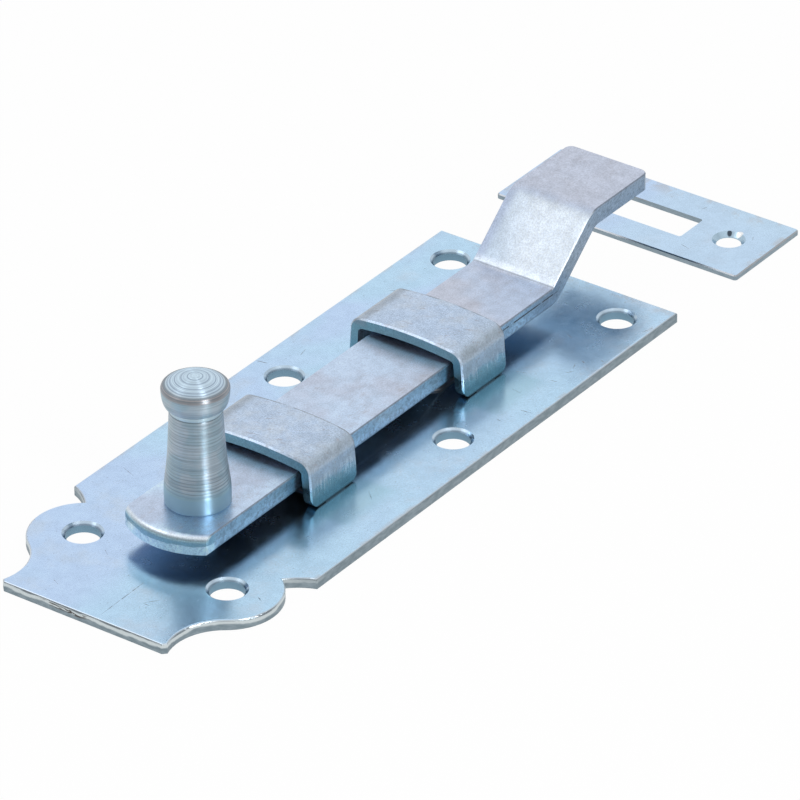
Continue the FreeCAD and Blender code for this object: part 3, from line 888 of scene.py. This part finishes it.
def turnedZinc(finish, shape):
    material, tree, shader = newMaterial("turnedZinc")
    whole = placed(tree)
    roundAbout = placed(tree, size=(60, 60, 1))     # stretched sideways, so that grain becomes level lines
    z = axes(tree, whole)[2]
    height = calc(tree, "SUBTRACT", z, barTop)

    colour = tint(tree, layer(tree, whole, *finish["tones"]), finish["steel"], finish["teal"])
    # painted reflection: the collar, low on the knob, a darker teal
    colour = tint(tree, spread(tree, height, *finish["collarBelow"]), colour, finish["collar"])
    onStem = spread(tree, height, *finish["stemFrom"])
    lines = times(tree, layer(tree, roundAbout, *finish["lines"]), onStem, finish["lineAmount"])
    colour = tint(tree, lines, colour, finish["line"])
    wander = times(tree, grain(tree, placed(tree, size=(3, 3, 1)), 1.5 * mm, 2.0), finish["grooveWander"])
    turns = times(tree, calc(tree, "ADD", z, wander), 2 * math.pi / shape["toolPitch"])
    grooves = times(tree, spread(tree, calc(tree, "SINE", turns), *finish["grooveEdge"]), onStem,
                    spread(tree, height, *finish["markedBelow"], *finish["markedAmount"]),
                    spread(tree, height, *finish["stemTo"]))
    colour = tint(tree, grooves, colour, finish["line"])

    # painted highlight: a brighter teal band on the neck ring
    fade = finish["neckFade"]
    neckHighlight = times(tree, spread(tree, height, shape["stemTop"] - fade, shape["stemTop"] + fade),
                 spread(tree, height, shape["neckTop"] + fade, shape["neckTop"] - fade), finish["neckHighlightAmount"])
    colour = tint(tree, neckHighlight, colour, finish["neckHighlight"])
    for seamHeight in (shape["stemTop"], shape["neckTop"]):
        seam = spread(tree, gap(tree, height, seamHeight), *finish["seamReach"], 0.0, finish["seamAmount"])
        colour = tint(tree, seam, colour, finish["line"])

    span = reach(tree, (knobX, knobY, 0))
    circles = layer(tree, span, *finish["circles"])
    dome = spread(tree, height, *finish["domeFrom"])
    underDome = spread(tree, height, *reversed(finish["domeFrom"]))
    rim = times(tree, spread(tree, height, *finish["rimFrom"]), underDome, finish["rimAmount"])
    colour = tint(tree, rim, colour, tint(tree, circles, finish["brown"], finish["line"]))
    turned = times(tree, circles, finish["circleAmount"])
    for ring in shape["headRings"]:
        groove = spread(tree, gap(tree, span, ring), *finish["seamReach"], 0.0, finish["ringAmount"])
        turned = calc(tree, "MAXIMUM", turned, groove)
    colour = tint(tree, dome, colour, tint(tree, turned, finish["blueWhite"], finish["ring"]))
    feed(tree, shader.inputs["Base Color"], colour)

    shader.inputs["Roughness"].default_value = finish["roughness"]
    tangent = addNode(tree, "ShaderNodeTangent", direction_type="RADIAL", axis="Z")
    feed(tree, shader.inputs["Tangent"], tangent.outputs[0])
    shader.inputs["Anisotropic"].default_value = finish["grooved"]
    shader.inputs["Anisotropic Rotation"].default_value = finish["groovedTurn"]
    uneven = relief(tree, roundAbout, *finish["scored"])
    feed(tree, shader.inputs["Normal"], relief(tree, whole, *finish["fineRelief"], uneven))
    return material


turnedKnob = makeKnob(knobShape)
turnedKnob.data.materials.append(turnedZinc(knobFinish, knobShape))
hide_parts("knob")
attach(turnedKnob, "bolt")
print("knob turned")


# studio: pale floor, white surround, soft boxes

def makeFloor():
    bpy.ops.object.select_all(action="DESELECT")
    bpy.ops.mesh.primitive_plane_add(size=studio["floorSize"], location=(0, 0, -studio["floorDrop"]))
    floor = bpy.context.object
    floor.name = "floor"
    bpy.ops.object.transform_apply(location=True, rotation=True, scale=True)
    material = bpy.data.materials.new("paleFloor")
    material.use_nodes = True
    tree = material.node_tree
    tree.nodes.clear()
    paint = addNode(tree, "ShaderNodeBsdfDiffuse")
    paint.inputs["Color"].default_value = studio["floorColour"]
    white = addNode(tree, "ShaderNodeEmission")
    path = addNode(tree, "ShaderNodeLightPath")
    seen = calc(tree, "MAXIMUM", path.outputs["Is Camera Ray"], path.outputs["Is Glossy Ray"])
    seen = calc(tree, "MAXIMUM", seen, path.outputs["Is Transmission Ray"])
    mix = addNode(tree, "ShaderNodeMixShader")
    feed(tree, mix.inputs[0], times(tree, seen, studio["floorWhite"]))
    feed(tree, mix.inputs[1], paint.outputs[0])
    feed(tree, mix.inputs[2], white.outputs[0])
    output = addNode(tree, "ShaderNodeOutputMaterial")
    feed(tree, output.inputs[0], mix.outputs[0])
    floor.data.materials.append(material)


def makeWorld():
    # white to the camera, plain light to the surfaces, a bright and a dim side in reflections
    world = bpy.data.worlds.new("studioWorld")
    bpy.context.scene.world = world
    world.use_nodes = True
    tree = world.node_tree
    tree.nodes.clear()
    path = addNode(tree, "ShaderNodeLightPath")
    clear = calc(tree, "MAXIMUM", path.outputs["Is Camera Ray"], path.outputs["Is Transmission Ray"])
    light = addNode(tree, "ShaderNodeBackground")
    light.inputs["Strength"].default_value = studio["ambient"]
    azimuth = math.radians(studio["brightAzimuth"])
    elevation = math.radians(studio["brightElevation"])
    way = addNode(tree, "ShaderNodeTexCoord").outputs["Generated"]
    lean = addNode(tree, "ShaderNodeVectorMath", operation="DOT_PRODUCT")
    feed(tree, lean.inputs[0], way)
    lean.inputs[1].default_value = (math.cos(azimuth) * math.cos(elevation),
                                    math.sin(azimuth) * math.cos(elevation),
                                    math.sin(elevation))
    brightSide = spread(tree, lean.outputs["Value"], *studio["brightFade"])
    overhead = spread(tree, axes(tree, way)[2], *studio["overheadFade"])
    glow = spread(tree, calc(tree, "MAXIMUM", brightSide, overhead), 0.0, 1.0,
                  studio["mirrorDim"], studio["mirrorBright"])
    mirrored = addNode(tree, "ShaderNodeBackground")
    feed(tree, mirrored.inputs["Strength"], glow)
    white = addNode(tree, "ShaderNodeBackground")
    white.inputs["Color"].default_value = (1.0, 1.0, 1.0, 1.0)
    soft = addNode(tree, "ShaderNodeMixShader")
    feed(tree, soft.inputs[0], path.outputs["Is Glossy Ray"])
    feed(tree, soft.inputs[1], light.outputs[0])
    feed(tree, soft.inputs[2], mirrored.outputs[0])
    mix = addNode(tree, "ShaderNodeMixShader")
    feed(tree, mix.inputs[0], clear)
    feed(tree, mix.inputs[1], soft.outputs[0])
    feed(tree, mix.inputs[2], white.outputs[0])
    output = addNode(tree, "ShaderNodeOutputWorld")
    feed(tree, output.inputs[0], mix.outputs[0])


def addSoftBox(spec):
    data = bpy.data.lights.new(spec["name"], "AREA")
    data.shape = "RECTANGLE"
    data.size, data.size_y = spec["size"]
    data.energy = spec["glow"] * math.pi * data.size * data.size_y
    lamp = bpy.data.objects.new(spec["name"], data)
    bpy.context.scene.collection.objects.link(lamp)
    lamp.location = spec["at"]
    lamp.rotation_euler = (-Vector(spec["at"])).to_track_quat("-Z", "Y").to_euler()


def addCamera():
    azimuth = math.radians(cameraSetup["azimuth"])
    elevation = math.radians(cameraSetup["elevation"])
    turn = (Matrix.Rotation(azimuth - math.pi / 2, 4, "Z")
            @ Matrix.Rotation(math.pi / 2 - elevation, 4, "X")
            @ Matrix.Rotation(math.radians(cameraSetup["roll"]), 4, "Z"))
    back = turn @ Vector((0, 0, 1))
    data = bpy.data.cameras.new("photoCamera")
    data.lens = cameraSetup["lens"]
    data.clip_end = cameraSetup["clipEnd"]
    camera = bpy.data.objects.new("photoCamera", data)
    bpy.context.scene.collection.objects.link(camera)
    camera.matrix_world = Matrix.Translation(Vector(cameraSetup["target"]) + back * cameraSetup["distance"]) @ turn
    bpy.context.scene.camera = camera


makeFloor()
makeWorld()
for spec in lamps:
    addSoftBox(spec)
addCamera()
bpy.context.scene.view_settings.view_transform = "Standard"
print("studio ready")
